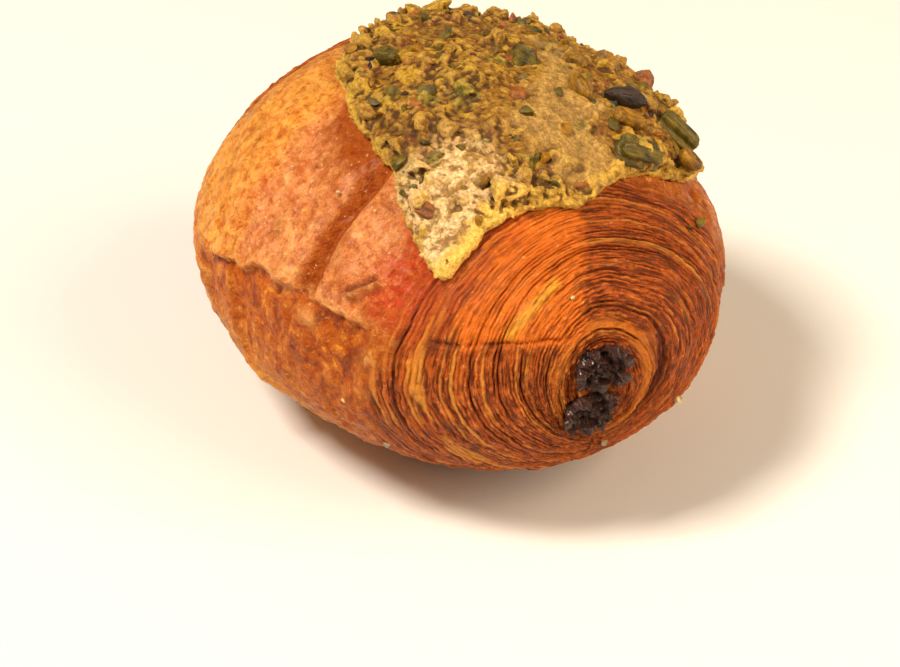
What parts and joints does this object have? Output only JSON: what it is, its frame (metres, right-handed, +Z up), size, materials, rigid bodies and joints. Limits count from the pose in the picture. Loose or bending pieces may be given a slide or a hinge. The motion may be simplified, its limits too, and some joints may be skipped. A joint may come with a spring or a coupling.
{
  "type": "pistachio chocolate croissant",
  "caption": "Rolled chocolate croissant with layered spiral ends, chocolate sticks running through it and a crusted pistachio topping with nut pieces, resting on a flat spot.",
  "frame": {"origin": "centre of the base of the bounding box, on the surface that the croissant rests on", "axes": "+X along the roll towards the end seen in the picture, +Z up"},
  "size_m": [0.099, 0.0822, 0.0642],
  "materials": {
    "baked_dough": "glazed golden to deep brown crust with fine layered ridges",
    "chocolate": "dark, cratered, half glossy",
    "pistachio_paste": "rough baked olive to cream crust",
    "yellow_nut": "roasted yellow nut flesh",
    "green_nut": "ribbed green nut flesh",
    "dark_nut": "wrinkled purple brown skin",
    "brown_nut": "toasted brown nut"
  },
  "bodies": {
    "root": {"dough": "baked_dough", "chocolate_stick_upper": "chocolate", "chocolate_stick_lower": "chocolate", "pistachio_paste": "pistachio_paste", "pistachio_yellow_kernel": "yellow_nut", "pistachio_dark_skinned": "dark_nut", "pistachio_yellow_half": "yellow_nut", "pistachio_olive_ribbed": "green_nut", "pistachio_dark_green": "green_nut", "pistachio_gold_tip": "yellow_nut", "pistachio_bright_green": "green_nut", "pistachio_green_shard": "green_nut", "pistachio_small_yellow": "yellow_nut", "pistachio_brown_lump": "brown_nut", "pistachio_red_chunk": "brown_nut", "pistachio_tan_block": "yellow_nut", "pistachio_brown_block": "brown_nut"}
  },
  "joints": []
}
